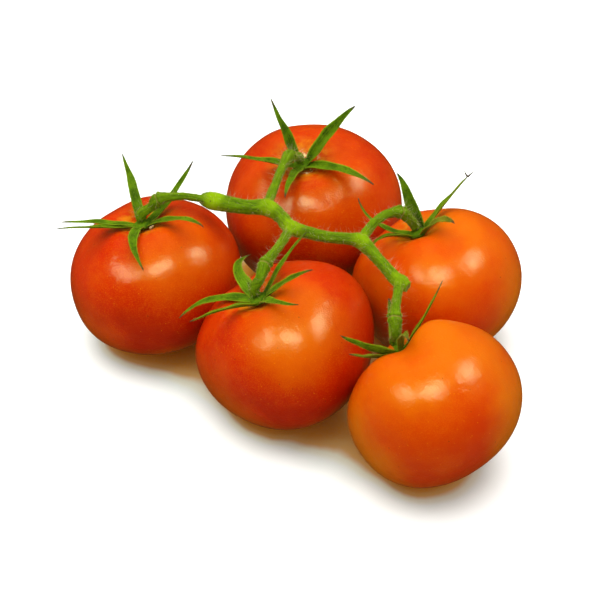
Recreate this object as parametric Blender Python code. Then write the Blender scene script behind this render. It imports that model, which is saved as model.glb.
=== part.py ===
"""A truss of five ripe tomatoes, still joined by one green stalk, lying on its fruits.

The tables below are in millimetres and degrees, and every mesh is made in metres. +Z is up.
The fruits rest on z = 0, and the box around the whole truss is centred on the Z axis.
"""
import math
from collections import namedtuple

import bmesh
import bpy
from mathutils import Matrix, Vector

MM = 0.001
UP = Vector((0.0, 0.0, 1.0))

# Moves the drawn positions sideways so that the whole truss is centred on the Z axis.
TO_CENTRE = Vector((2.65, -1.4, 0.0))

# Fruit: girth radius, height as a share of the girth, lean of its axis, and lobes.
# A lobe is (how many go round the fruit, depth as a share of the radius, bearing of a crest).
Fruit = namedtuple("Fruit", "name x y radius squat lean_x lean_y girth_lobes shoulder_lobes")
FRUITS = (
    Fruit("left", -55.1, 17.2, 33.1, 0.838, -0.20, 0.13,
          ((2, 0.011, 61), (3, 0.014, -21)), ((5, 0.016, 20), (1, 0.010, 90))),
    Fruit("back", 4.6, 59.0, 34.6, 0.846, -0.17, -0.17,
          ((2, 0.013, 4), (3, 0.029, -1)), ((5, 0.018, 48), (1, 0.010, 60))),
    Fruit("right", 52.2, 11.7, 32.2, 0.835, -0.38, 0.27,
          ((2, 0.029, -31), (3, 0.041, 32)), ((4, 0.018, 10), (1, 0.020, 20))),
    Fruit("front", -4.6, -25.4, 32.9, 0.845, -0.50, 0.10,
          ((2, 0.022, 31), (3, 0.070, 46)), ((5, 0.018, 5), (1, 0.015, -40))),
    Fruit("tip", 47.8, -58.8, 31.8, 0.857, -0.84, 0.77,
          ((3, 0.024, 44),), ((4, 0.020, 0), (1, 0.012, -40), (3, 0.050, 120))),
)
FULLNESS = 0.92         # a power below 1 makes the profile fuller than an ellipse
SHOULDER_AT = 0.55      # ring of the shoulder lobes, as a share of the girth radius
SHOULDER_SPREAD = 0.25
CAVITY_DEPTH = 0.20     # hollow around the stem, as shares of the girth radius
CAVITY_SPREAD = 0.26
NAVEL_DEPTH = 0.035     # shallow dent opposite the stem
NAVEL_SPREAD = 0.16
POLE_FADE = 4.0         # how fast a pole's own features fade out toward the girth
FLAT_SPOT = 0.5         # how much of its roundness a fruit loses where it rests
FRUIT_RINGS = 20
FRUIT_SIDES = 40
RING_CROWDING = 1.2     # above 1 puts more rings near the stem
CUT_TOLERANCE = 0.02    # corners this close to the floor count as lying on it
SKIN_CREASE = 30        # edges that turn more than this stay sharp

# Calyx hub: a small button turned about the fruit's axis, (radius, height over the cavity).
HUB_PROFILE = ((2.4, 1.0), (3.6, 1.8), (3.3, 2.7), (2.3, 3.3))
HUB_BOTTOM = 0.45
HUB_TOP = 3.5
HUB_SIDES = 14
GREEN_CREASE = 40

# Sepal: bearing round the fruit's axis at its root, distance of its tip from that axis, rise of
# its tip over its root, how far its middle arches above the straight line, change of bearing
# toward the tip, greatest width, and how far it is rolled on its own length at the tip.
Sepal = namedtuple("Sepal", "bearing reach rise arch sweep width roll")
SEPALS = {
    "left": (
        Sepal(103, 23.0, 19.0, 2.5, 0, 4.2, 50), Sepal(198, 29.0, 12.0, 0.5, 2, 4.0, 0),
        Sepal(210, 32.5, 14.0, 0.0, 2, 3.4, 15), Sepal(262, 29.0, -2.5, 4.2, 12, 4.2, -20),
        Sepal(330, 35.5, 8.5, 1.5, -11, 3.6, 0), Sepal(27, 24.5, 19.0, -3.0, -7, 4.5, 30),
    ),
    "back": (
        Sepal(126, 14.0, 25.5, 2.5, -4, 4.4, 40), Sepal(6, 25.0, 22.5, 2.5, 4, 6.0, 45),
        Sepal(200, 30.0, 23.5, 0.0, 6, 4.2, 20), Sepal(325, 36.5, 7.5, 2.5, -5, 4.5, 0),
        Sepal(259, 28.0, 11.5, 2.6, 1, 3.8, 0),
    ),
    "right": (
        Sepal(72, 4.5, 23.5, 1.0, 22, 5.5, 40), Sepal(20, 27.5, 10.5, 1.5, 14, 4.4, -20),
        Sepal(321, 28.0, 8.5, 2.5, -11, 4.2, 30), Sepal(174, 23.5, 15.0, -2.0, -28, 4.0, 25),
        Sepal(220, 25.0, 8.5, 2.2, 15, 3.0, 0),
    ),
    "front": (
        Sepal(120, 28.0, 3.0, 4.2, -21, 4.8, 30), Sepal(23, 27.0, 14.5, 0.5, -8, 3.2, 0),
        Sepal(337, 30.0, 11.0, 1.2, -2, 3.8, 20), Sepal(302, 28.5, 4.5, 2.4, 11, 3.2, 0),
        Sepal(162, 32.5, 2.0, 2.8, 10, 4.0, -15), Sepal(233, 29.0, 15.0, 1.5, -1, 4.0, 20),
    ),
    "tip": (
        Sepal(24, 27.0, 12.0, -0.5, 7, 3.0, 0), Sepal(258, 25.5, 17.5, -1.0, 4, 4.0, 20),
        Sepal(240, 21.0, 10.0, -0.5, 9, 4.8, -40), Sepal(96, 26.0, 16.0, 1.0, 0, 4.4, 30),
        Sepal(319, 21.5, 2.5, 3.7, -12, 3.2, 0),
    ),
}
SEPAL_ROOT_RADIUS = 3.0
SEPAL_ROOT_HEIGHT = 2.1
SEPAL_THICKNESS = 0.7
SEPAL_FOLD = 0.16       # depth of the groove along the middle, as a share of the width
SEPAL_ROOT_WIDTH = 0.78  # widths at the root and at the tip, as shares of the greatest
SEPAL_TIP_WIDTH = 0.16
SEPAL_WIDEST = 0.25     # where the sepal is widest, as a share of its length
SEPAL_TAPER = 1.25      # 1 narrows it evenly to the tip, more keeps it broad for longer
SEPAL_STATIONS = 11
SEPAL_NEARBY = 0.02     # step along the middle line over which its direction is taken

# Stalk routes: (x, y, z, radius). The main stem runs from its cut end to its last stub.
MAIN_STEM = (
    (-36.6, 24.8, 59.0, 3.3), (-32.8, 22.8, 59.6, 4.2), (-26.3, 19.9, 60.2, 3.5),
    (-19.1, 18.2, 60.3, 3.1), (-12.4, 17.9, 60.2, 3.7), (-7.3, 13.0, 60.0, 2.9),
    (-3.5, 5.6, 60.3, 3.2), (3.0, 2.9, 60.0, 2.6), (9.2, 1.6, 59.2, 2.4),
    (17.5, 0.9, 58.8, 2.5), (22.6, -0.8, 58.7, 3.2), (28.6, -11.5, 59.0, 2.4),
    (33.6, -20.7, 58.7, 2.7), (36.0, -23.9, 58.4, 3.0), (38.9, -26.0, 57.8, 2.3),
)
# Each fruit's own stem, from just above its calyx, over its knuckle, to the main stem.
FRUIT_STEMS = {
    "left": ((-56.0, 21.8, 57.4, 2.1), (-53.4, 22.1, 61.0, 2.6), (-48.1, 22.5, 61.8, 1.9),
             (-41.8, 23.1, 61.4, 1.9), (-33.5, 22.4, 60.0, 2.3)),
    "back": ((-2.1, 51.8, 59.0, 2.1), (-4.2, 48.6, 61.5, 2.6), (-6.9, 41.0, 61.6, 1.9),
             (-9.5, 30.3, 61.0, 1.9), (-12.4, 19.1, 60.2, 2.2)),
    "right": ((40.7, 16.6, 56.0, 2.1), (37.8, 16.4, 59.4, 2.5), (32.5, 13.8, 60.2, 1.9),
              (26.9, 8.1, 59.8, 1.9), (22.4, -0.2, 58.8, 2.2)),
    "front": ((-14.6, -21.6, 57.8, 2.1), (-12.7, -17.3, 61.2, 2.6), (-9.1, -10.4, 61.6, 1.9),
              (-6.4, -3.6, 61.0, 1.9), (-3.6, 4.8, 60.3, 2.2)),
    "tip": ((33.9, -47.6, 54.6, 2.1), (33.4, -44.0, 58.6, 2.6), (34.0, -38.0, 59.6, 1.9),
            (34.9, -31.0, 59.2, 1.9), (35.8, -24.0, 58.5, 2.3)),
}
STEM_START_RADIUS = 1.9
STEM_STRAIGHT = 2.4     # length over which a fruit's stem runs straight from its calyx
GAP = 0.5               # clearance between the calyx and the stem that meets it
MAIN_SIDES = 12
STEM_SIDES = 10
STEPS_BETWEEN = 3

# Linear red, green and blue.
SKIN_RED = {
    "left": (0.50, 0.020, 0.001), "back": (0.47, 0.022, 0.001), "right": (0.58, 0.045, 0.001),
    "front": (0.54, 0.030, 0.001), "tip": (0.66, 0.085, 0.001),
}
LEAF_GREEN = (0.085, 0.170, 0.006)
STALK_GREEN = (0.110, 0.210, 0.004)
SKIN_ROUGHNESS = 0.22
GREEN_ROUGHNESS = 0.6


def clear_scene():
    for item in list(bpy.data.objects):
        bpy.data.objects.remove(item, do_unlink=True)


def make_material(name, colour, roughness):
    material = bpy.data.materials.new(name)
    material.use_nodes = True
    shader = material.node_tree.nodes["Principled BSDF"]
    shader.inputs["Base Color"].default_value = (*colour, 1.0)
    shader.inputs["Roughness"].default_value = roughness
    shader.inputs["Metallic"].default_value = 0.0
    return material


def make_object(name, mesh, material, parent):
    item = bpy.data.objects.new(name, mesh)
    bpy.context.scene.collection.objects.link(item)
    item.parent = parent
    mesh.materials.append(material)
    return item


def bell(distance, spread):
    return math.exp(-(distance / spread) ** 2)


def wave(lobes, bearing):
    return sum(depth * math.cos(count * (bearing - math.radians(crest)))
               for count, depth, crest in lobes)


def skin_point(fruit, polar, bearing):
    """A point of the fruit's skin about its own axis: polar 0 at the stem, pi opposite it."""
    out = math.sin(polar) ** FULLNESS
    up = math.copysign(abs(math.cos(polar)) ** FULLNESS, math.cos(polar))
    stem_side = min(max(POLE_FADE * math.cos(polar), 0.0), 1.0)
    navel_side = min(max(-POLE_FADE * math.cos(polar), 0.0), 1.0)
    shoulder = bell(out - SHOULDER_AT, SHOULDER_SPREAD) * stem_side
    height = fruit.squat * up + wave(fruit.shoulder_lobes, bearing) * shoulder
    out *= 1.0 + wave(fruit.girth_lobes, bearing) * math.sin(polar) ** 2
    height -= CAVITY_DEPTH * bell(out, CAVITY_SPREAD) * stem_side
    height += NAVEL_DEPTH * bell(out, NAVEL_SPREAD) * navel_side
    return fruit.radius * Vector((out * math.cos(bearing), out * math.sin(bearing), height))


def skin_rings(fruit):
    rings = []
    for ring in range(1, FRUIT_RINGS):
        polar = math.pi * (ring / FRUIT_RINGS) ** RING_CROWDING
        rings.append([skin_point(fruit, polar, 2.0 * math.pi * side / FRUIT_SIDES)
                      for side in range(FRUIT_SIDES)])
    return rings


def fruit_axes(fruit):
    """Rotation whose Z is the fruit's leaning axis and whose Y lies in the plane of +Y and Z."""
    axis = Vector((fruit.lean_x, fruit.lean_y, 1.0)).normalized()
    side = Vector((0.0, 1.0, 0.0)).cross(axis).normalized()
    return Matrix((side, axis.cross(side), axis)).transposed()


def fruit_placement(fruit):
    """Where the fruit's own frame stands once its lowest part is sunk by the flat spot."""
    turn = fruit_axes(fruit)
    lowest = min((turn @ point).z for ring in skin_rings(fruit) for point in ring)
    middle = Vector((fruit.x, fruit.y, -lowest - FLAT_SPOT)) + TO_CENTRE
    return Matrix.Translation(middle * MM) @ turn.to_4x4()


def cavity_floor(fruit):
    return skin_point(fruit, 0.0, 0.0).z


def loft(bm, rings, start, end):
    """Adds a closed skin from the start pole, over the rings in their order, to the end pole."""
    loops = [[bm.verts.new(point * MM) for point in ring] for ring in rings]
    sides = len(loops[0])
    first = bm.verts.new(start * MM)
    last = bm.verts.new(end * MM)
    for side in range(sides):
        after = (side + 1) % sides
        bm.faces.new((first, loops[0][side], loops[0][after]))
        for upper, lower in zip(loops, loops[1:]):
            bm.faces.new((upper[side], lower[side], lower[after], upper[after]))
        bm.faces.new((last, loops[-1][after], loops[-1][side]))


def finish_mesh(bm, name, smooth_below):
    bmesh.ops.recalc_face_normals(bm, faces=bm.faces)
    mesh = bpy.data.meshes.new(name)
    bm.to_mesh(mesh)
    bm.free()
    mesh.shade_smooth()
    mesh.set_sharp_from_angle(angle=math.radians(smooth_below))
    return mesh


def build_fruit(fruit, parent):
    """The whole skin, cut flat where it would reach under the floor."""
    name = "tomato_" + fruit.name
    placement = fruit_placement(fruit)
    bm = bmesh.new()
    loft(bm, skin_rings(fruit), skin_point(fruit, 0.0, 0.0), skin_point(fruit, math.pi, 0.0))
    to_own_frame = placement.inverted()
    everything = bm.verts[:] + bm.edges[:] + bm.faces[:]
    cut = bmesh.ops.bisect_plane(bm, geom=everything, dist=CUT_TOLERANCE * MM,
                                 plane_co=to_own_frame @ Vector(),
                                 plane_no=to_own_frame.to_3x3() @ -UP, clear_outer=True)
    rim = [piece for piece in cut["geom_cut"] if isinstance(piece, bmesh.types.BMEdge)]
    bmesh.ops.edgeloop_fill(bm, edges=rim)
    for vert in {vert for edge in rim for vert in edge.verts}:
        on_floor = placement @ vert.co
        on_floor.z = 0.0
        vert.co = to_own_frame @ on_floor
    mesh = finish_mesh(bm, name, SKIN_CREASE)
    skin = make_material("skin_" + fruit.name, SKIN_RED[fruit.name], SKIN_ROUGHNESS)
    item = make_object(name, mesh, skin, parent)
    item.matrix_local = placement
    return item


def build_hub(fruit, parent):
    """The button under the stem, where the sepals join."""
    floor = cavity_floor(fruit)
    bm = bmesh.new()
    rings = []
    for radius, height in reversed(HUB_PROFILE):
        rings.append([Vector((radius * math.cos(turn), radius * math.sin(turn), floor + height))
                      for turn in (2.0 * math.pi * side / HUB_SIDES for side in range(HUB_SIDES))])
    loft(bm, rings, Vector((0.0, 0.0, floor + HUB_TOP)), Vector((0.0, 0.0, floor + HUB_BOTTOM)))
    name = "calyx_" + fruit.name
    leaf = make_material("calyx_green_" + fruit.name, LEAF_GREEN, GREEN_ROUGHNESS)
    item = make_object(name, finish_mesh(bm, name, GREEN_CREASE), leaf, parent)
    item.matrix_local = fruit_placement(fruit)
    return item


def sepal_point(fruit, sepal, along):
    """A point of the sepal's middle line in its fruit's frame, along from 0 to 1."""
    bearing = math.radians(sepal.bearing + sepal.sweep * along ** 2)
    out = SEPAL_ROOT_RADIUS + (sepal.reach - SEPAL_ROOT_RADIUS) * along
    height = cavity_floor(fruit) + SEPAL_ROOT_HEIGHT
    height += sepal.rise * along + 4.0 * sepal.arch * along * (1.0 - along)
    return Vector((out * math.cos(bearing), out * math.sin(bearing), height))


def sepal_width(sepal, along):
    """Half width: it grows from the root to the widest place, then narrows to the tip."""
    if along < SEPAL_WIDEST:
        share = math.sin(0.5 * math.pi * along / SEPAL_WIDEST)
        low = SEPAL_ROOT_WIDTH
    else:
        share = 1.0 - ((along - SEPAL_WIDEST) / (1.0 - SEPAL_WIDEST)) ** SEPAL_TAPER
        low = SEPAL_TIP_WIDTH
    return 0.5 * sepal.width * (low + (1.0 - low) * share)


def build_sepal(fruit, sepal):
    """A grooved blade: six points round each station, three on its face and three on its back."""
    rings = []
    for station in range(SEPAL_STATIONS):
        along = station / (SEPAL_STATIONS - 1)
        middle = sepal_point(fruit, sepal, along)
        before = sepal_point(fruit, sepal, max(along - SEPAL_NEARBY, 0.0))
        after = sepal_point(fruit, sepal, min(along + SEPAL_NEARBY, 1.0))
        forward = (after - before).normalized()
        bearing = math.radians(sepal.bearing + sepal.sweep * along ** 2)
        across = Vector((-math.sin(bearing), math.cos(bearing), 0.0))
        across = (across - forward * across.dot(forward)).normalized()
        across = Matrix.Rotation(math.radians(sepal.roll * along), 3, forward) @ across
        face = forward.cross(across) * 0.5 * SEPAL_THICKNESS
        half = sepal_width(sepal, along)
        edge = forward.cross(across) * SEPAL_FOLD * 2.0 * half
        left = middle - across * half + edge
        right = middle + across * half + edge
        rings.append([left + face, middle + face, right + face,
                      right - face, middle - face, left - face])
    bm = bmesh.new()
    loops = [[bm.verts.new(point * MM) for point in ring] for ring in rings]
    for near, far in zip(loops, loops[1:]):
        for side in range(len(near)):
            after = (side + 1) % len(near)
            bm.faces.new((near[side], far[side], far[after], near[after]))
    bm.faces.new(loops[0])
    bm.faces.new(loops[-1])
    return finish_mesh(bm, "sepal", GREEN_CREASE)


def route_point(route, position):
    """A point and a radius on the smooth curve through the route's stops."""
    index = min(int(position), len(route) - 2)
    share = position - index
    stops = [Vector(route[min(max(index + step, 0), len(route) - 1)]) for step in (-1, 0, 1, 2)]
    before, here, there, after = stops
    return 0.5 * (2.0 * here + (there - before) * share
                  + (2.0 * before - 5.0 * here + 4.0 * there - after) * share ** 2
                  + (3.0 * here - before - 3.0 * there + after) * share ** 3)


def build_tube(route, sides, name):
    """A round stem along a route, closed by a flat cut at each end."""
    count = (len(route) - 1) * STEPS_BETWEEN
    stations = [route_point(route, step / STEPS_BETWEEN) for step in range(count + 1)]
    points = [Vector(station[:3]) for station in stations]
    bm = bmesh.new()
    loops = []
    across = None
    for index, point in enumerate(points):
        forward = points[min(index + 1, count)] - points[max(index - 1, 0)]
        forward.normalize()
        across = forward.orthogonal() if across is None else across
        across = (across - forward * across.dot(forward)).normalized()
        beside = forward.cross(across)
        radius = stations[index][3]
        turns = [2.0 * math.pi * side / sides for side in range(sides)]
        loops.append([bm.verts.new((point + TO_CENTRE + radius
                                    * (across * math.cos(turn) + beside * math.sin(turn))) * MM)
                      for turn in turns])
    for near, far in zip(loops, loops[1:]):
        for side in range(sides):
            after = (side + 1) % sides
            bm.faces.new((near[side], near[after], far[after], far[side]))
    bm.faces.new(loops[0])
    bm.faces.new(loops[-1])
    return finish_mesh(bm, name, GREEN_CREASE)


def stem_route(fruit):
    """The stem leaves the calyx halfway between the fruit's axis and its own first stop.

    Its flat end leans over with it, so it starts high enough for its low edge to keep the gap.
    """
    stops = FRUIT_STEMS[fruit.name]
    placement = fruit_placement(fruit)
    axis = (placement.to_3x3() @ UP).normalized()
    button = placement @ Vector((0.0, 0.0, (cavity_floor(fruit) + HUB_TOP) * MM)) / MM - TO_CENTRE
    leaving = (axis + (Vector(stops[0][:3]) - button).normalized()).normalized()
    start = button + axis * (GAP + STEM_START_RADIUS * math.sin(leaving.angle(axis)))
    straight = start + leaving * STEM_STRAIGHT
    return ((*start, STEM_START_RADIUS), (*straight, STEM_START_RADIUS)) + stops


def fuse(item, additions):
    """Joins the additions to the item so that the result is one grown piece.

    The stems cross at shallow angles, where the exact solver leaves edges open.
    """
    group = bpy.data.collections.new(item.name + "_additions")
    for addition in additions:
        group.objects.link(addition)
    union = item.modifiers.new("fuse", "BOOLEAN")
    union.operation = "UNION"
    union.solver = "MANIFOLD"
    union.operand_type = "COLLECTION"
    union.collection = group
    bpy.context.view_layer.update()
    evaluated = item.evaluated_get(bpy.context.evaluated_depsgraph_get())
    fused = bpy.data.meshes.new_from_object(evaluated)
    item.modifiers.clear()
    item.data = fused
    for addition in additions:
        bpy.data.objects.remove(addition, do_unlink=True)
    bpy.data.collections.remove(group)


def build_calyx(fruit, parent):
    hub = build_hub(fruit, parent)
    sepals = []
    for sepal in SEPALS[fruit.name]:
        blade = bpy.data.objects.new("sepal", build_sepal(fruit, sepal))
        bpy.context.scene.collection.objects.link(blade)
        blade.matrix_local = fruit_placement(fruit)
        sepals.append(blade)
    fuse(hub, sepals)


def build_stalk(parent):
    green = make_material("stalk_green", STALK_GREEN, GREEN_ROUGHNESS)
    stalk = make_object("stalk", build_tube(MAIN_STEM, MAIN_SIDES, "stalk"), green, parent)
    stems = []
    for fruit in FRUITS:
        stem = bpy.data.objects.new("stem", build_tube(stem_route(fruit), STEM_SIDES, "stem"))
        bpy.context.scene.collection.objects.link(stem)
        stems.append(stem)
    fuse(stalk, stems)


clear_scene()
truss = bpy.data.objects.new("truss", None)
bpy.context.scene.collection.objects.link(truss)
for each in FRUITS:
    build_fruit(each, truss)
    build_calyx(each, truss)
build_stalk(truss)
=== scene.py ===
"""The look of a truss of five ripe tomatoes on one green stalk, lying on a pale surface.

Tables are in millimetres and degrees unless they say otherwise, and colours are linear.
TO_CENTRE takes the tables to the frame that the solids are in.
"""

import math
from collections import namedtuple

import bmesh
import bpy
import numpy as np
from mathutils import Matrix, Vector, noise
from mathutils.bvhtree import BVHTree


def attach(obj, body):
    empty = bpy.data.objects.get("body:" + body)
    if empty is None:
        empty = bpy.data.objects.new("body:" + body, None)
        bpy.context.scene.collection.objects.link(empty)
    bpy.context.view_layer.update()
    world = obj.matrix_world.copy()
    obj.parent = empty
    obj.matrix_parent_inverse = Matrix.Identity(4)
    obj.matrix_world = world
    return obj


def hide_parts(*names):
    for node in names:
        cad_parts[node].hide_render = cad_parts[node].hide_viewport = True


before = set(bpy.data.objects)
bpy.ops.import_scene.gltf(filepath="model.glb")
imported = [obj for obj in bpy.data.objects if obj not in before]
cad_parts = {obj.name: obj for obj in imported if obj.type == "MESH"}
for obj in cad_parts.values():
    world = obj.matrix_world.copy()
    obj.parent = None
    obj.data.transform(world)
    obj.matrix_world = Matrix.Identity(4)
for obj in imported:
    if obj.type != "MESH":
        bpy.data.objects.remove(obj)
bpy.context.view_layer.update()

MM = 0.001
TO_CENTRE = Vector((2.65, -1.4, 0.0))
RNG = np.random.default_rng(5)

# Light, with sizes and distances in metres
SKY_LIGHT = 0.94
SKY_LOW, SKY_HIGH = 0.5, 1.25     # shares of it at the horizon and overhead
SKY_BACKDROP = 1.1                 # how bright the camera sees it
SKY_GLOSS = 0.09                   # how bright the skins mirror it, and in what tint
SKY_GLOSS_TINT = (1.0, 0.55, 0.1)
SUN_LIGHT = 2.4
SUN_SPREAD = 70.0
SUN_DIRECTION = (-0.12, 0.1, 1.0)
LAMP_AIM = Vector((0.0, 0.0, 0.03))
# Window-like lamps that give the skins their highlights: direction, size and radiance.
SOFTBOXES = (
    ("softbox_left", (-0.6, -0.26, 0.72), (0.42, 0.26), 14.0),
    ("softbox_front", (-0.03, -0.36, 0.9), (0.48, 0.28), 20.0),
    ("softbox_right", (0.64, 0.07, 0.73), (0.34, 0.28), 17.0),
)
SOFTBOX_DISTANCE = 0.9
SOFTBOX_TINT = (0.78, 1.0, 0.78)

# The camera looks down from the photograph's side.
CAMERA_TILT = 40.0
CAMERA_DISTANCE = 0.8    # in metres
CAMERA_LENS = 127.2
CAMERA_AIM = 30.0        # the height it looks at

# The surface under the fruits: its reach, its finely divided middle and the step there, in metres
SURFACE_REACH = 6.0
SURFACE_FINE = 0.16
SURFACE_STEP = 0.0025
# Its colour by how open to the light it is: painted shadow, tan to red-brown where the fruits
# close it in, and a painted greenish tint in the half shade against the red light the fruits
# throw on it.
PAINTED_SHADOW_TINTS = (
    (0.15, (0.95, 0.36, 0.02)), (0.23, (0.88, 0.4, 0.05)), (0.3, (0.86, 0.52, 0.16)),
    (0.37, (0.93, 0.97, 0.76)), (0.44, (0.91, 1.00, 0.92)), (0.62, (0.92, 0.96, 0.92)),
)
SURFACE_GRAIN = (0.7, 0.68, 0.62)
SURFACE_FILL = 0.22      # a light of its own that only the camera sees
SURFACE_DIM = 0.5       # share of its light that it doesn't throw back on the fruits
# Openness is the share of rays up from a point that pass the fruits.
OPENNESS_RAYS = 96
OPENNESS_START = 0.3     # height above the surface
OPENNESS_REACH = 30.0
# Three fruits shade this corner from farther off: x, y, how much, and reach.
SHADY_CORNER = (-17.6, 51.1, 0.16, 14.0)

# The fruits: the same values and formula as their solids, with finer relief added.
Fruit = namedtuple("Fruit", "name x y radius squat lean_x lean_y girth_lobes shoulder_lobes")
FRUITS = (
    Fruit("left", -55.1, 17.2, 33.1, 0.838, -0.2, 0.13,
          ((2, 0.011, 61), (3, 0.014, -21)), ((5, 0.016, 20), (1, 0.01, 90))),
    Fruit("back", 4.6, 59.0, 34.6, 0.846, -0.17, -0.17,
          ((2, 0.013, 4), (3, 0.029, -1)), ((5, 0.018, 48), (1, 0.01, 60))),
    Fruit("right", 52.2, 11.7, 32.2, 0.835, -0.38, 0.27,
          ((2, 0.029, -31), (3, 0.041, 32)), ((4, 0.018, 10), (1, 0.02, 20))),
    Fruit("front", -4.6, -25.4, 32.9, 0.845, -0.5, 0.1,
          ((2, 0.022, 31), (3, 0.07, 46)), ((5, 0.018, 5), (1, 0.015, -40))),
    Fruit("tip", 47.8, -58.8, 31.8, 0.857, -0.84, 0.77,
          ((3, 0.024, 44),), ((4, 0.02, 0), (1, 0.012, -40), (3, 0.05, 120))),
)
FULLNESS = 0.92
SHOULDER_AT = 0.55
SHOULDER_SPREAD = 0.25
CAVITY_DEPTH = 0.2
CAVITY_SPREAD = 0.26
NAVEL_DEPTH = 0.035
NAVEL_SPREAD = 0.16
POLE_FADE = 4.0
FLAT_SPOT = 0.5
FINE_RINGS = 132
FINE_SIDES = 264
RING_CROWDING = 1.2
UNEVENNESS = 0.0045      # depth of the soft dents all over, as a share of the radius
DENT_WAVES = 9
# Shallow furrows that run out from the stem: bearing, depth in mm and width in degrees.
FURROWS = {
    "left": ((-32, 0.5, 13), (20, 0.35, 16), (95, 0.5, 14), (160, 0.4, 12), (-110, 0.45, 15)),
    "back": ((-50, 0.7, 12), (15, 0.4, 14), (80, 0.5, 15), (150, 0.45, 14), (-120, 0.4, 15)),
    "right": ((-60, 0.4, 14), (5, 0.5, 14), (70, 0.5, 15), (140, 0.4, 13), (-130, 0.5, 14)),
    "front": ((-75, 0.6, 16), (-15, 0.5, 15), (60, 0.45, 14), (130, 0.5, 13), (-155, 0.4, 12)),
    "tip": ((-60, 0.7, 18), (10, 0.5, 15), (85, 0.5, 15), (160, 0.5, 15), (-130, 0.5, 14)),
}
FURROW_PLACE = 0.34      # distance from the stem where they are deepest, in radii
FURROW_SPREAD = 0.24
FURROW_BEND = 10.0       # degrees in a radius

# The calyxes
HUB_PROFILE = ((2.4, 1.0), (3.6, 1.8), (3.3, 2.7), (2.3, 3.3))
HUB_BOTTOM = 0.45
HUB_TOP = 3.5
HUB_SIDES = 48
HUB_RINGS = 17
# The button's width between sepals, what each sepal adds, and over how many degrees.
HUB_SWELL = (0.94, 0.1, 20.0)
Sepal = namedtuple("Sepal", "bearing reach rise arch sweep width roll")
SEPALS = {
    "left": (
        Sepal(103, 23.0, 19.0, 2.5, 0, 4.2, 50), Sepal(198, 29.0, 12.0, 0.5, 2, 4.0, 0),
        Sepal(210, 32.5, 14.0, 0.0, 2, 3.4, 15), Sepal(262, 29.0, -2.5, 4.2, 12, 4.2, -20),
        Sepal(330, 35.5, 8.5, 1.5, -11, 3.6, 0), Sepal(27, 24.5, 19.0, -3.0, -7, 4.5, 30),
    ),
    "back": (
        Sepal(126, 14.0, 25.5, 2.5, -4, 4.4, 40), Sepal(6, 25.0, 22.5, 2.5, 4, 6.0, 45),
        Sepal(200, 30.0, 23.5, 0.0, 6, 4.2, 20), Sepal(325, 36.5, 7.5, 2.5, -5, 4.5, 0),
        Sepal(259, 28.0, 11.5, 2.6, 1, 3.8, 0),
    ),
    "right": (
        Sepal(72, 4.5, 23.5, 1.0, 22, 5.5, 40), Sepal(20, 27.5, 10.5, 1.5, 14, 4.4, -20),
        Sepal(321, 28.0, 8.5, 2.5, -11, 4.2, 30), Sepal(174, 23.5, 15.0, -2.0, -28, 4.0, 25),
        Sepal(220, 25.0, 8.5, 2.2, 15, 3.0, 0),
    ),
    "front": (
        Sepal(120, 28.0, 3.0, 4.2, -21, 4.8, 30), Sepal(23, 27.0, 14.5, 0.5, -8, 3.2, 0),
        Sepal(337, 30.0, 11.0, 1.2, -2, 3.8, 20), Sepal(302, 28.5, 4.5, 2.4, 11, 3.2, 0),
        Sepal(162, 32.5, 2.0, 2.8, 10, 4.0, -15), Sepal(233, 29.0, 15.0, 1.5, -1, 4.0, 20),
    ),
    "tip": (
        Sepal(24, 27.0, 12.0, -0.5, 7, 3.0, 0), Sepal(258, 25.5, 17.5, -1.0, 4, 4.0, 20),
        Sepal(240, 21.0, 10.0, -0.5, 9, 4.8, -40), Sepal(96, 26.0, 16.0, 1.0, 0, 4.4, 30),
        Sepal(319, 21.5, 2.5, 3.7, -12, 3.2, 0),
    ),
}
# How far some sepals have yellowed and browned, by fruit and order in the table above.
AGED = {("tip", 4): 0.55, ("right", 2): 0.55, ("right", 1): 0.08, ("tip", 2): 0.3}
FORKED = {("right", 1)}  # its dry tip has split in two
FORK_WAYS = ((-0.55, 0.0, 0.75), (0.8, 0.0, 0.25))
# Scraps of dried petal beside the left button: bearing, reach, height and thickness.
SCRAP = ((302, 7.9, 3.9, 0.6), (311, 7.3, 3.7, 0.45))
SEPAL_ROOT_RADIUS = 3.0
SEPAL_ROOT_HEIGHT = 2.1
SEPAL_THICKNESS = 0.55
SEPAL_FOLD = 0.18
SEPAL_ROOT_WIDTH = 0.78
SEPAL_TIP_WIDTH = 0.1
SEPAL_WIDEST = 0.25
SEPAL_TAPER = 1.25
SEPAL_STATIONS = 46
SEPAL_ACROSS = 9
SEPAL_WAVE = 0.06
SEPAL_SWAY = 0.35
SEPAL_CURL = 12.0
SEPAL_CURL_FROM = 0.72
SEPAL_RIB = 0.24
SEPAL_RIB_SPREAD = 0.2
SEPAL_FLUTTER = 0.12
SEPAL_HAIRS = 520        # on each sepal

# Hairs and dry threads: least and greatest length, and thickness
SEPAL_HAIR = ((0.25, 0.9), 0.026)
SHORT_STEM_HAIR = ((0.2, 0.6), 0.022)
LONG_STEM_HAIR = ((1.2, 4.4), 0.032)
TIP_THREAD = ((0.8, 1.6), 0.16)
FORKED_THREAD = (3.4, 0.42)              # length and thickness of both of its threads
HAIR_TURNS = (0.0, 2.0944, 4.18879)      # corners of a hair's foot, in radians
THREAD_TURNS = [2.0 * math.pi * side / 5 for side in range(5)]
THREAD_RINGS = 5
HAIR_SPREAD = 0.35       # how much their directions differ

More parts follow.
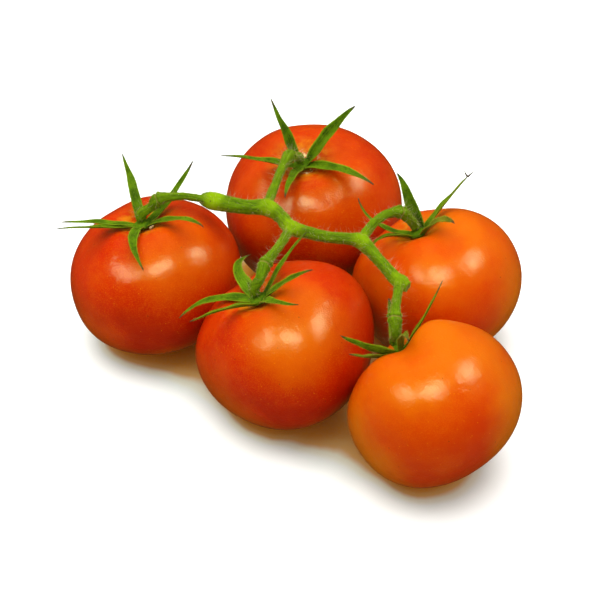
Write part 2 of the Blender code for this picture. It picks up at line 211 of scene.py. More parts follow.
# The stalk
MAIN_STEM = (
    (-36.6, 24.8, 59.0, 2.8), (-32.8, 22.8, 59.6, 3.9), (-26.3, 19.9, 60.2, 3.4),
    (-19.1, 18.2, 60.3, 3.1), (-12.4, 17.9, 60.2, 3.7), (-7.3, 13.0, 60.0, 2.9),
    (-3.5, 5.6, 60.3, 3.2), (3.0, 2.9, 60.0, 2.6), (9.2, 1.6, 59.2, 2.4),
    (17.5, 0.9, 58.8, 2.5), (22.6, -0.8, 58.7, 3.2), (28.6, -11.5, 59.0, 2.4),
    (33.6, -20.7, 58.7, 2.7), (36.0, -23.9, 58.4, 3.0), (38.9, -26.0, 57.8, 2.3),
)
FRUIT_STEMS = {
    "left": ((-56.0, 21.8, 57.4, 2.1), (-53.4, 22.1, 61.0, 2.6), (-48.1, 22.5, 61.8, 1.75),
             (-41.8, 23.1, 61.4, 1.6), (-35.5, 22.6, 60.3, 1.7)),
    "back": ((-2.1, 51.8, 59.0, 2.1), (-4.2, 48.6, 61.5, 2.6), (-6.9, 41.0, 61.6, 1.9),
             (-9.5, 30.3, 61.0, 1.9), (-12.4, 19.1, 60.2, 2.2)),
    "right": ((40.7, 16.6, 56.0, 2.1), (37.8, 16.4, 59.4, 2.5), (32.5, 13.8, 60.2, 1.9),
              (26.9, 8.1, 59.8, 1.9), (22.4, -0.2, 58.8, 2.2)),
    "front": ((-14.6, -21.6, 57.8, 2.1), (-12.7, -17.3, 61.2, 2.6), (-9.1, -10.4, 61.6, 1.9),
              (-6.4, -3.6, 61.0, 1.9), (-3.6, 4.8, 60.3, 2.2)),
    "tip": ((33.9, -47.6, 54.6, 2.1), (33.4, -44.0, 58.6, 2.6), (34.0, -38.0, 59.6, 1.9),
            (34.9, -31.0, 59.2, 1.9), (35.8, -24.0, 58.5, 2.3)),
}
STEM_START_RADIUS = 1.9
STEM_STRAIGHT = 2.4
SKIN_SHARE = 0.88        # the skin's ridges and hairs make up the rest of the thickness
STEM_FOOT = {"left": 2.2, "back": 1.9, "right": 2.1, "front": 2.2, "tip": 1.3}
GAP = 0.5
# Where the main stem forks, in swollen joints: x, y, z and how yellow.
FORKS = ((-31.6, 22.2, 60.0, 0.85), (-11.6, 17.2, 60.4, 0.62), (-2.6, 4.9, 60.4, 0.58),
         (23.2, -1.4, 59.0, 0.55), (36.4, -24.2, 58.6, 0.5))
FORK_RADIUS = 2.808
YELLOW_WITHIN, YELLOW_FADE = 3.0, 2.0
# Each knuckle's two rims and the groove between them: height, place along the stem and width.
KNUCKLE_RIMS = ((0.62, 0.9, 0.75), (0.52, -1.1, 0.8), (-0.42, 0.0, 0.4))
KNUCKLE_REACH = 4.0
RING_WIDTH = 0.42
STEM_STEPS = 6           # from one stop of a stem to the next
STEM_OFFSET = 40.0       # sets the grain of one stem off from the next
MAIN_SIDES, SIDE_SIDES = 24, 20
STALK_VOXEL = 0.29
STALK_SMOOTHING = 6      # rounds
RIDGE_DEPTH, RIDGES, RIDGE_TWIST = 0.1, 5.0, 0.12
STALK_LUMPS = ((0.45, 0.2), (1.6, 0.07))    # noise scale per mm, and height
CUT_REACH = ((0, 2.9), (-1, 2.0))            # at the first and last stops of the main stem
STEM_HAIRS = 36000
LONG_SHARE = 0.04

# Colours of the skins: deepest red, where ripest and as painted shade low down; plain; and
# orange, in patches and as painted light on the top; and how much height matters.
SKIN_COLOURS = {
    "left": ((0.4, 0.005, 0.0001), (0.54, 0.011, 0.0001), (0.64, 0.054, 0.0002), 0.38),
    "back": ((0.24, 0.001, 0.0001), (0.48, 0.008, 0.0001), (0.66, 0.054, 0.0002), 0.58),
    "right": ((0.59, 0.025, 0.0001), (0.63, 0.042, 0.0001), (0.69, 0.106, 0.0002), 0.52),
    "front": ((0.41, 0.005, 0.0001), (0.54, 0.009, 0.0001), (0.64, 0.05, 0.0002), 0.44),
    "tip": ((0.56, 0.026, 0.0001), (0.62, 0.054, 0.0001), (0.67, 0.116, 0.0002), 0.62),
}
# Golden patches and painted glow: direction from the middle of the fruit, and how golden. Those
# that face up are painted light, an orange glow round the highlights.
GOLD_AND_GLOW = {
    "left": (((-0.8, -0.45, -0.45), 0.25), ((0.1, -0.45, -0.9), 0.4),
             ((0.35, -0.5, 0.8), 0.2)),
    "back": (),
    "right": (((0.9, -0.42, -0.2), 0.7), ((0.3, 0.3, 0.9), 0.3)),
    "front": (((-0.75, -0.4, -0.55), 0.35), ((0.0, -0.4, -0.92), 0.4),
              ((0.05, -0.6, 0.8), 0.34)),
    "tip": (((0.95, -0.3, 0.05), 0.7), ((-0.82, -0.42, -0.45), 0.7),
            ((0.2, 0.3, 0.93), 0.25)),
}
CORK = {"left": 0.5, "back": 1.0, "right": 0.3, "front": 0.4, "tip": 0.3}    # how corky
GOLDEN_AND_GLOW = (0.68, 0.195, 0.0005)
MOTTLE = (0.7, 0.125, 0.0003)
BLOTCH = (0.7, 0.1, 0.0003)
FLECK = (0.84, 0.28, 0.004)
PINPOINT = (0.1, 0.01, 0.002)
STEM_RAYS = (0.74, 0.3, 0.006)
SCAR = (0.16, 0.075, 0.03)
CORKY = (0.86, 0.62, 0.28)

# Colours of the sepals, the stalk and the hairs
LEAF_DARK = (0.038, 0.094, 0.001)
LEAF_LIGHT = (0.108, 0.216, 0.002)
LEAF_VEIN = (0.18, 0.29, 0.004)
LEAF_EDGE = (0.235, 0.335, 0.008)
LEAF_GRAIN = (0.19, 0.28, 0.005)
LEAF_SPECK = (0.024, 0.05, 0.004)
LEAF_YELLOWED = (0.3, 0.24, 0.016)
LEAF_BROWNED = (0.13, 0.075, 0.012)
LEAF_DRY = (0.075, 0.048, 0.026)
STEM_DARK = (0.054, 0.112, 0.001)
STEM_LIGHT = (0.158, 0.296, 0.001)
STEM_PATCH = (0.105, 0.19, 0.001)
STEM_GRAIN = (0.23, 0.34, 0.003)
STEM_YOUNG = (0.28, 0.45, 0.001)
STEM_RING = (0.34, 0.25, 0.06)
STEM_SPECK = (0.04, 0.03, 0.008)
STEM_CUT = (0.2, 0.13, 0.045)
HAIR_SHORT = ((0.16, 0.22, 0.004), (0.38, 0.34, 0.05))
HAIR_LONG = ((0.5, 0.36, 0.16), (0.68, 0.56, 0.32))

# Noise textures: scale, detail and roughness
NOISES = {
    "patches": (42, 3, 0.55), "mottle": (2300, 2, 0.7), "blotch": (420, 3, 0.6),
    "sparse": (260, 1, 0.5), "rare": (110, 1, 0.5), "rays": (260, 3, 0.6),
    "cork": (330, 2, 0.5), "gloss": (300, 3, 0.5), "swell": (95, 2, 0.5),
    "dimple": (380, 3, 0.55), "peel": (1500, 2, 0.6), "leaf": (190, 3, 0.6),
    "fine": (1500, 3, 0.65), "leaf_specks": (900, 1, 0.5), "stem": (140, 3, 0.6),
    "streaks": (4, 4, 0.6), "stem_specks": (620, 2, 0.5), "hair": (300, 1, 0.5),
    "surface": (900, 2, 0.5),
}
FLECK_CELLS = 620.0
PIN_CELLS = 300.0
VEINS_ACROSS = 9.5


def bell(distance, spread):
    return np.exp(-(distance / spread) ** 2)


def wave(lobes, bearing):
    return sum(depth * np.cos(count * (bearing - math.radians(crest)))
               for count, depth, crest in lobes)


def skin(fruit, polar, bearing):
    """Points of the fruit's skin about its own axis, for arrays of angles."""
    cosine = np.cos(polar)
    out = np.abs(np.sin(polar)) ** FULLNESS
    up = np.sign(cosine) * np.abs(cosine) ** FULLNESS
    stem_side = np.clip(POLE_FADE * cosine, 0.0, 1.0)
    navel_side = np.clip(-POLE_FADE * cosine, 0.0, 1.0)
    shoulder = bell(out - SHOULDER_AT, SHOULDER_SPREAD) * stem_side
    height = fruit.squat * up + wave(fruit.shoulder_lobes, bearing) * shoulder
    out = out * (1.0 + wave(fruit.girth_lobes, bearing) * np.sin(polar) ** 2)
    height = height - CAVITY_DEPTH * bell(out, CAVITY_SPREAD) * stem_side
    height = height + NAVEL_DEPTH * bell(out, NAVEL_SPREAD) * navel_side
    points = np.stack([out * np.cos(bearing), out * np.sin(bearing), height], axis=-1)
    return fruit.radius * points


def fruit_axes(fruit):
    axis = Vector((fruit.lean_x, fruit.lean_y, 1.0)).normalized()
    side = Vector((0.0, 1.0, 0.0)).cross(axis).normalized()
    return Matrix((side, axis.cross(side), axis)).transposed()


def fruit_placement(fruit):
    """Where the fruit's own frame stands once its lowest part is sunk by the flat spot."""
    turn = fruit_axes(fruit)
    polar, bearing = np.meshgrid(np.linspace(0.0, math.pi, 91),
                                 np.linspace(0.0, 2.0 * math.pi, 120), indexing="ij")
    lowest = (skin(fruit, polar, bearing) @ np.array(turn).T)[..., 2].min()
    middle = Vector((fruit.x, fruit.y, -lowest - FLAT_SPOT)) + TO_CENTRE
    return Matrix.Translation(middle * MM) @ turn.to_4x4()


def cavity_floor(fruit):
    return float(skin(fruit, np.array(0.0), np.array(0.0))[2])


def angle_between(first, second):
    """Smallest turn between two bearings, in degrees, for arrays."""
    return np.abs((first - second + 180.0) % 360.0 - 180.0)


def relief(fruit, points, bearing):
    """How far the soft dents and furrows move the plain skin along its normal, in mm."""
    direction = points / np.linalg.norm(points, axis=-1, keepdims=True)
    dents = np.zeros(points.shape[:-1])
    for _ in range(DENT_WAVES):
        way = RNG.normal(size=3)
        way *= RNG.uniform(4.0, 11.0) / np.linalg.norm(way)
        dents += np.sin(direction @ way + RNG.uniform(0.0, 6.3)) * RNG.uniform(0.3, 1.0) / 3.0
    out = np.linalg.norm(points[..., :2], axis=-1) / fruit.radius
    furrowed = bell(out - FURROW_PLACE, FURROW_SPREAD)
    furrowed = furrowed * np.clip(points[..., 2] / fruit.radius * 3.0, 0.0, 1.0)
    furrows = np.zeros(points.shape[:-1])
    for at, depth, width in FURROWS[fruit.name]:
        apart = angle_between(np.degrees(bearing), at + FURROW_BEND * out)
        furrows += depth * bell(apart, width)
    return UNEVENNESS * fruit.radius * dents - furrows * furrowed


def closed_grid_faces(rings, sides):
    """Faces of a closed skin: pole 0, then the rings, then the last pole."""
    faces = []
    last = 1 + rings * sides
    for side in range(sides):
        after = (side + 1) % sides
        faces.append((0, 1 + side, 1 + after))
        faces.append((last, last - sides + after, last - sides + side))
    for ring in range(rings - 1):
        start = 1 + ring * sides
        for side in range(sides):
            after = (side + 1) % sides
            faces.append((start + side, start + sides + side, start + sides + after,
                          start + after))
    return faces


def add_tube_faces(faces, start, rings, sides):
    """Faces of a tube with closed ends whose rings of points follow one another."""
    for near in range(start, start + (rings - 1) * sides, sides):
        far = near + sides
        for side in range(sides):
            after = (side + 1) % sides
            faces.append((near + side, near + after, far + after, far + side))
    faces.append(tuple(start + side for side in reversed(range(sides))))
    faces.append(tuple(start + (rings - 1) * sides + side for side in range(sides)))


def set_attribute(mesh, name, values, kind="FLOAT"):
    layer = mesh.attributes.new(name, kind, "POINT")
    flat = np.asarray(values, dtype=np.float32).ravel()
    layer.data.foreach_set("value" if kind == "FLOAT" else "vector", flat)


def read_vectors(mesh, name):
    """A vector of each of the mesh's points, such as its place or its normal."""
    flat = np.empty(3 * len(mesh.vertices), np.float32)
    mesh.vertices.foreach_get(name, flat)
    return flat.reshape(-1, 3).astype(float)


def new_mesh(name, points, faces):
    """A mesh from points in millimetres."""
    mesh = bpy.data.meshes.new(name)
    mesh.from_pydata([tuple(point * MM) for point in points], [], faces)
    return mesh


def new_object(name, data):
    item = bpy.data.objects.new(name, data)
    bpy.context.scene.collection.objects.link(item)
    return item


def new_piece(name, mesh, material, placement=None):
    """With a placement, the mesh is moved there, and its attribute "place" keeps where each
    point was in the fruit's own frame, for the materials."""
    mesh.materials.append(material)
    if placement is not None:
        set_attribute(mesh, "place", read_vectors(mesh, "co"), "FLOAT_VECTOR")
        mesh.transform(placement)
    return new_object(name, mesh)


def build_fruit(fruit, material):
    placement = fruit_placement(fruit)
    steps = np.arange(1, FINE_RINGS + 1) / (FINE_RINGS + 1)
    polar, bearing = np.meshgrid(math.pi * steps ** RING_CROWDING,
                                 2.0 * math.pi * np.arange(FINE_SIDES) / FINE_SIDES,
                                 indexing="ij")
    points = skin(fruit, polar, bearing)
    along = np.gradient(points, axis=0)
    around = np.roll(points, -1, axis=1) - np.roll(points, 1, axis=1)
    normal = np.cross(along, around)
    normal /= np.linalg.norm(normal, axis=-1, keepdims=True)
    points = points + normal * relief(fruit, points, bearing)[..., None]
    points = points.reshape(-1, 3)
    first, last = points[:FINE_SIDES].mean(axis=0), points[-FINE_SIDES:].mean(axis=0)
    points = np.concatenate([[first], points, [last]]) * MM
    # The part that would reach under the surface is pressed flat on it.
    turn, middle = np.array(placement.to_3x3()), np.array(placement.translation)
    world = points @ turn.T + middle
    world[:, 2] = np.maximum(world[:, 2], 0.0)
    points = (world - middle) @ turn
    mesh = bpy.data.meshes.new("fruit_" + fruit.name)
    mesh.from_pydata(points.tolist(), [], closed_grid_faces(FINE_RINGS, FINE_SIDES))
    mesh.shade_smooth()
    item = new_piece("fruit_" + fruit.name, mesh, material, placement)
    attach(item, "root")
    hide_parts("tomato_" + fruit.name)
    return item


def ring_points(middle, forward, radius, turns, side=None):
    """Points round a middle, square to a direction, the first of them at one side."""
    side = side or forward.orthogonal().normalized()
    other = forward.cross(side)
    return [middle + (side * math.cos(turn) + other * math.sin(turn)) * radius
            for turn in turns]


def add_hair(verts, faces, root, way, length, thick):
    """A slim three-sided spike."""
    forward = way.normalized()
    start = len(verts)
    verts.extend(ring_points(root - forward * thick, forward, thick, HAIR_TURNS))
    verts.append(root + forward * length)
    faces.extend((start + side, start + (side + 1) % 3, start + 3) for side in range(3))


def add_thread(verts, faces, root, way, bend, length, thick):
    """A thin dry thread that bends as it goes."""
    start = len(verts)
    point = root.copy()
    for step in range(THREAD_RINGS):
        forward = (way + bend * (step / THREAD_RINGS)).normalized()
        size = thick * (1.0 - 0.8 * step / (THREAD_RINGS - 1))
        verts.extend(ring_points(point, forward, size, THREAD_TURNS))
        point = point + forward * length / (THREAD_RINGS - 1)
    add_tube_faces(faces, start, THREAD_RINGS, len(THREAD_TURNS))


class Blade:
    """One sepal's own shape. Places along it are 0 at the button and 1 at the tip."""

    def __init__(self, fruit, sepal):
        self.sepal = sepal
        self.root_height = cavity_floor(fruit) + SEPAL_ROOT_HEIGHT
        self.phase = RNG.uniform(0.0, 6.3)
        self.withered = RNG.uniform(0.8, 0.93)
        self.curl = RNG.uniform(-0.5, 0.5)

    def bearing(self, along):
        return math.radians(self.sepal.bearing + self.sepal.sweep * along ** 2)

    def middle(self, along):
        bearing = self.bearing(along)
        out = SEPAL_ROOT_RADIUS + (self.sepal.reach - SEPAL_ROOT_RADIUS) * along
        height = self.root_height
        height += self.sepal.rise * along + 4.0 * self.sepal.arch * along * (1.0 - along)
        return Vector((out * math.cos(bearing), out * math.sin(bearing), height))

    def half_width(self, along):
        if along < SEPAL_WIDEST:
            share = math.sin(0.5 * math.pi * along / SEPAL_WIDEST)
            low = SEPAL_ROOT_WIDTH
        else:
            share = 1.0 - ((along - SEPAL_WIDEST) / (1.0 - SEPAL_WIDEST)) ** SEPAL_TAPER
            low = SEPAL_TIP_WIDTH
        half = 0.5 * self.sepal.width * (low + (1.0 - low) * share)
        return half * (1.0 + SEPAL_WAVE * math.sin(9.0 * along + self.phase))

    def axes(self, along):
        """Forward, across and face directions."""
        before = self.middle(max(along - 0.02, 0.0))
        after = self.middle(min(along + 0.02, 1.0))
        forward = (after - before).normalized()
        bearing = self.bearing(along)
        across = Vector((-math.sin(bearing), math.cos(bearing), 0.0))
        across = (across - forward * across.dot(forward)).normalized()
        roll = math.radians(self.sepal.roll * along)
        across = Matrix.Rotation(roll, 3, forward) @ across
        return forward, across, forward.cross(across)

    def point(self, along, u, face_side):
        """A point at u from -1 to 1 across; face_side 1 is the upper skin, -1 the lower."""
        _, across, face = self.axes(along)
        half = self.half_width(along)
        sway = SEPAL_SWAY * math.sin(5.0 * along + self.phase) * along
        curled = self.curl * max(along - SEPAL_CURL_FROM, 0.0) ** 2 * SEPAL_CURL
        thick = 0.5 * SEPAL_THICKNESS * (1.0 - 0.55 * u * u) * (1.0 - 0.45 * along)
        rib = SEPAL_RIB * math.exp(-(u / SEPAL_RIB_SPREAD) ** 2) * (1.0 - 0.8 * along)
        lift = SEPAL_FOLD * 2.0 * half * abs(u) ** 1.3
        flutter = SEPAL_FLUTTER * half * math.sin(15.0 * along + 2.5 * u + self.phase) * abs(u)
        depth = lift + flutter + face_side * thick
        depth -= rib if face_side < 0 else 0.5 * rib
        return self.middle(along) + across * (half * u + sway) + face * (depth + curled)


def add_button(fruit, verts, faces, looks):
    """Fine rings between two poles, swollen a little where each sepal leaves the button."""
    floor = cavity_floor(fruit)
    radii, heights = zip((0.0, HUB_BOTTOM), *HUB_PROFILE, (0.0, HUB_TOP))
    stops = np.arange(len(radii))
    turns = 2.0 * math.pi * np.arange(HUB_SIDES) / HUB_SIDES
    bearings = np.array([sepal.bearing for sepal in SEPALS[fruit.name]], float)
    plain, added, reach = HUB_SWELL
    apart = angle_between(np.degrees(turns)[:, None], bearings)
    swell = plain + added * bell(apart, reach).sum(axis=1)
    verts.append(Vector((0.0, 0.0, floor + HUB_BOTTOM)))
    for position in np.linspace(0.0, stops[-1], HUB_RINGS + 2)[1:-1]:
        height = floor + np.interp(position, stops, heights)
        out = np.interp(position, stops, radii) * swell
        verts.extend(Vector((x, y, height))
                     for x, y in zip(out * np.cos(turns), out * np.sin(turns)))
    verts.append(Vector((0.0, 0.0, floor + HUB_TOP)))
    faces.extend(tuple(reversed(face)) for face in closed_grid_faces(HUB_RINGS, HUB_SIDES))
    looks.extend([(0.0, 0.5, 0.0)] * len(verts))


def add_sepal(blade, age, forked, verts, faces, looks):
    """A thin blade and the dry thread or threads at its tip."""
    start = len(verts)
    width_steps = np.linspace(-1.0, 1.0, SEPAL_ACROSS)
    loop = [(u, 1) for u in width_steps] + [(u, -1) for u in width_steps[::-1]]
    for station in range(SEPAL_STATIONS):
        along = station / (SEPAL_STATIONS - 1)
        for u, face_side in loop:
            verts.append(blade.point(along, u, face_side))
            edge_dry = 0.25 * max(abs(u) - 0.8, 0.0)
            dry = min(max((along + edge_dry - blade.withered) / 0.1, 0.0), 1.0)
            looks.append((dry, u, age * min(2.0 * along + 0.2, 1.0)))
    add_tube_faces(faces, start, SEPAL_STATIONS, len(loop))
    forward = blade.axes(1.0)[0]
    tip = 0.5 * (blade.point(0.985, 0.0, 1) + blade.point(0.985, 0.0, -1))
    ways = [forward * 0.5 + Vector(part) for part in FORK_WAYS] if forked else [forward]
    for way in ways:
        bend = Vector(RNG.normal(size=3)) * 0.5
        if forked:
            length, thick = FORKED_THREAD
        else:
            lengths, thick = TIP_THREAD
            length = RNG.uniform(*lengths)
        add_thread(verts, faces, tip, way.normalized(), bend, length, thick)
    looks.extend([(1.0, 0.0, age)] * (len(verts) - len(looks)))


def add_sepal_hairs(blade, verts, faces):
    """Half of the hairs are on the edges."""
    lengths, thick = SEPAL_HAIR
    for _ in range(SEPAL_HAIRS):
        along = RNG.uniform(0.02, 0.95)
        u = RNG.choice((-1.0, 1.0)) * (1.0 if RNG.random() < 0.5 else RNG.uniform(0.0, 1.0))
        up_side = RNG.choice((-1.0, 1.0))
        forward, side, face = blade.axes(along)
        root = blade.point(along, u, up_side)
        way = side * u * 0.9 + face * up_side * (1.1 - abs(u)) + forward * 0.3
        way += Vector(RNG.normal(size=3)) * HAIR_SPREAD
        add_hair(verts, faces, root, way, RNG.uniform(*lengths), thick)


def add_scraps(floor, verts, faces):
    for bearing, out, height, size in SCRAP:
        turn = math.radians(bearing)
        root = Vector((out * math.cos(turn), out * math.sin(turn), floor + height))
        way = Vector((math.cos(turn), math.sin(turn), 0.9)).normalized()
        add_thread(verts, faces, root, way, Vector((0.4, -0.9, -0.6)), size * 3.0, size)


def build_calyx(fruit, leaf, hair):
    """The button and its sepals, with soft hairs. Looks are dry, across and aged by point."""
    placement = fruit_placement(fruit)
    verts, faces, looks = [], [], []
    hair_verts, hair_faces = [], []
    add_button(fruit, verts, faces, looks)
    for number, sepal in enumerate(SEPALS[fruit.name]):
        blade = Blade(fruit, sepal)
        key = (fruit.name, number)
        add_sepal(blade, AGED.get(key, 0.0), key in FORKED, verts, faces, looks)
        add_sepal_hairs(blade, hair_verts, hair_faces)
    mesh = new_mesh("sepals_" + fruit.name, verts, faces)
    mesh.shade_smooth()
    for name, values in zip(("dry", "across", "aged"), zip(*looks)):
        set_attribute(mesh, name, values)
    item = new_piece("sepals_" + fruit.name, mesh, leaf, placement)
    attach(item, "root")
    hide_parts("calyx_" + fruit.name)
    pale = [0.0] * len(hair_verts)
    if fruit.name == "left":
        add_scraps(cavity_floor(fruit), hair_verts, hair_faces)
        pale.extend([1.0] * (len(hair_verts) - len(pale)))
    down = new_mesh("sepal_hairs_" + fruit.name, hair_verts, hair_faces)
    set_attribute(down, "long", pale)
    down_item = new_piece("sepal_hairs_" + fruit.name, down, hair, placement)
    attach(down_item, "root")


def route_point(route, position):
    """A point and a radius on the smooth curve through the route's stops."""
    index = min(int(position), len(route) - 2)
    share = position - index
    stops = [Vector(route[min(max(index + step, 0), len(route) - 1)]) for step in (-1, 0, 1, 2)]
    before, here, there, after = stops
    return 0.5 * (2.0 * here + (there - before) * share
                  + (2.0 * before - 5.0 * here + 4.0 * there - after) * share ** 2
                  + (3.0 * here - before - 3.0 * there + after) * share ** 3)


def stem_route(fruit):
    stops = FRUIT_STEMS[fruit.name]
    placement = fruit_placement(fruit)
    axis = (placement.to_3x3() @ Vector((0.0, 0.0, 1.0))).normalized()
    button = placement @ Vector((0.0, 0.0, (cavity_floor(fruit) + HUB_TOP) * MM)) / MM - TO_CENTRE
    leaving = (axis + (Vector(stops[0][:3]) - button).normalized()).normalized()
    start = button + axis * (GAP + STEM_START_RADIUS * math.sin(leaving.angle(axis)))
    straight = start + leaving * STEM_STRAIGHT
    foot = STEM_FOOT[fruit.name]
    return ((*start, foot), (*straight, foot)) + stops


def stations_along(stops):
    """Points and radii along the smooth curve through the stops, thinned to the skin."""
    route = [(*stop[:3], stop[3] * SKIN_SHARE) for stop in stops]
    count = (len(route) - 1) * STEM_STEPS
    return [route_point(route, step / STEM_STEPS) for step in range(count + 1)]


def add_tube(verts, faces, stations, sides):
    """A tube through the stations, with no twist from one ring to the next."""
    points = [Vector(station[:3]) for station in stations]
    turns = [2.0 * math.pi * side / sides for side in range(sides)]
    start = len(verts)
    across = None
    for index, point in enumerate(points):
        forward = points[min(index + 1, len(points) - 1)] - points[max(index - 1, 0)]
        forward.normalize()
        across = forward.orthogonal() if across is None else across
        across = (across - forward * across.dot(forward)).normalized()
        verts.extend(ring_points(point + TO_CENTRE, forward, stations[index][3], turns, across))
    add_tube_faces(faces, start, len(points), sides)


def fused_stems(green):
    """The stems as one skin with swollen forks, and the stations along each of them."""
    verts, faces = [], []
    routes = [stations_along(MAIN_STEM)]
    routes.extend(stations_along(stem_route(fruit)) for fruit in FRUITS)
    for number, stations in enumerate(routes):
        add_tube(verts, faces, stations, SIDE_SIDES if number else MAIN_SIDES)
    rough = new_mesh("rough_stalk", verts, faces)
    bm = bmesh.new()
    bm.from_mesh(rough)
    for *middle, _ in FORKS:
        centre = Matrix.Translation((Vector(middle) + TO_CENTRE) * MM)
        bmesh.ops.create_icosphere(bm, subdivisions=3, radius=FORK_RADIUS * MM, matrix=centre)
    bmesh.ops.recalc_face_normals(bm, faces=bm.faces)
    bm.to_mesh(rough)
    bm.free()
    item = new_piece("stems", rough, green)
    remesh = item.modifiers.new("skin", "REMESH")
    remesh.mode = "VOXEL"
    remesh.voxel_size = STALK_VOXEL * MM
    smooth = item.modifiers.new("soften", "SMOOTH")
    smooth.factor = 0.5
    smooth.iterations = STALK_SMOOTHING
    bpy.context.view_layer.update()
    fine = bpy.data.meshes.new_from_object(
        item.evaluated_get(bpy.context.evaluated_depsgraph_get()))
    item.modifiers.clear()
    item.data = fine
    bpy.data.meshes.remove(rough)
    return item, routes


def stem_coordinates(where, routes):
    """Each point's distance along its own stem and its turn round it."""
    centres, ways, lengths, reaches = [], [], [], []
    for number, stations in enumerate(routes):
        table = np.array(stations)
        points = table[:, :3]
        steps = np.linalg.norm(np.diff(points, axis=0), axis=1)
        centres.append(points)
        ways.append(np.gradient(points, axis=0))
        lengths.append(np.concatenate([[0.0], np.cumsum(steps)]) + STEM_OFFSET * number)
        reaches.append(table[:, 3])
    centres, ways, lengths, reaches = map(np.concatenate, (centres, ways, lengths, reaches))
    ways /= np.linalg.norm(ways, axis=1, keepdims=True)
    nearest = np.empty(len(where), int)
    batch = 4000
    for start in range(0, len(where), batch):
        part = where[start:start + batch]
        gaps = np.linalg.norm(part[:, None] - centres[None], axis=2) - reaches[None] * 0.7
        nearest[start:start + batch] = gaps.argmin(axis=1)
    offset = where - centres[nearest]
    way = ways[nearest]
    ahead = (offset * way).sum(axis=1)
    across = offset - way * ahead[:, None]
    reference = np.cross(way, np.array([0.35, 0.2, 0.92]))
    reference /= np.linalg.norm(reference, axis=1, keepdims=True)
    turn = np.arctan2((np.cross(way, reference) * across).sum(axis=1),
                      (reference * across).sum(axis=1))
    return lengths[nearest] + ahead, turn


def yellowing(where):
    young = np.zeros(len(where))
    for *middle, glow in FORKS:
        beyond = np.linalg.norm(where - np.array(middle), axis=1) - YELLOW_WITHIN
        young = np.maximum(young, glow * bell(np.maximum(beyond, 0.0), YELLOW_FADE))
    return young


def swell_knuckles(where, normal):
    """The points with the knuckles' rims raised, and how near each is to a knuckle's ring."""
    ring = np.zeros(len(where))
    for stops in FRUIT_STEMS.values():
        before, knuckle, after = [Vector(stop[:3]) for stop in stops[:3]]
        apart = where - np.array(knuckle)
        close = bell(np.linalg.norm(apart, axis=1), KNUCKLE_REACH)
        step = apart @ np.array((after - before).normalized())
        ring = np.maximum(ring, close * bell(step, RING_WIDTH))
        for height, at, width in KNUCKLE_RIMS:
            where = where + normal * (height * close * bell(step - at, width))[:, None]
    return where, ring


def build_stem_hairs(where, normal, hair):
    verts, faces, pale = [], [], []
    for index in RNG.integers(0, len(where), STEM_HAIRS):
        root = Vector(where[index] + np.array(TO_CENTRE))
        long = RNG.random() < LONG_SHARE and normal[index][2] > -0.2
        lengths, thick = LONG_STEM_HAIR if long else SHORT_STEM_HAIR
        length = RNG.uniform(*lengths)
        way = Vector(normal[index]) + Vector(RNG.normal(size=3)) * HAIR_SPREAD
        add_hair(verts, faces, root, way, length, thick)
        pale.extend([float(long)] * (len(verts) - len(pale)))
    mesh = new_mesh("stem_hairs", verts, faces)
    set_attribute(mesh, "long", pale)
    down = new_piece("stem_hairs", mesh, hair)
    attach(down, "root")


def build_stalk(green, hair):
    """The stems with knuckles, ridges and lumps, set with hairs."""
    item, routes = fused_stems(green)
    fine = item.data
    where = read_vectors(fine, "co") / MM - np.array(TO_CENTRE)
    normal = read_vectors(fine, "normal")
    along, turn = stem_coordinates(where, routes)
    grain = np.stack([np.cos(turn), np.sin(turn), along * 0.06], axis=1)
    young = yellowing(where)
    where, ring = swell_knuckles(where, normal)
    raised = RIDGE_DEPTH * np.sin(RIDGES * turn + RIDGE_TWIST * along) * (1.0 - young)
    for scale, height in STALK_LUMPS:
        lumps = np.array([noise.noise(Vector(point) * scale) for point in where])
        raised = raised + lumps * height
    where = where + normal * raised[:, None]
    cut = sum(bell(np.linalg.norm(where - np.array(MAIN_STEM[end][:3]), axis=1), reach)
              for end, reach in CUT_REACH)

    flat = ((where + np.array(TO_CENTRE)) * MM).astype(np.float32).ravel()
    fine.vertices.foreach_set("co", flat)
    fine.shade_smooth()
    set_attribute(fine, "young", young)
    set_attribute(fine, "ring", ring)
    set_attribute(fine, "cut", np.clip(cut, 0.0, 1.0))
    set_attribute(fine, "grain", grain, "FLOAT_VECTOR")
    fine.update()
    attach(item, "root")
    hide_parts("stalk")
    build_stem_hairs(where, normal, hair)


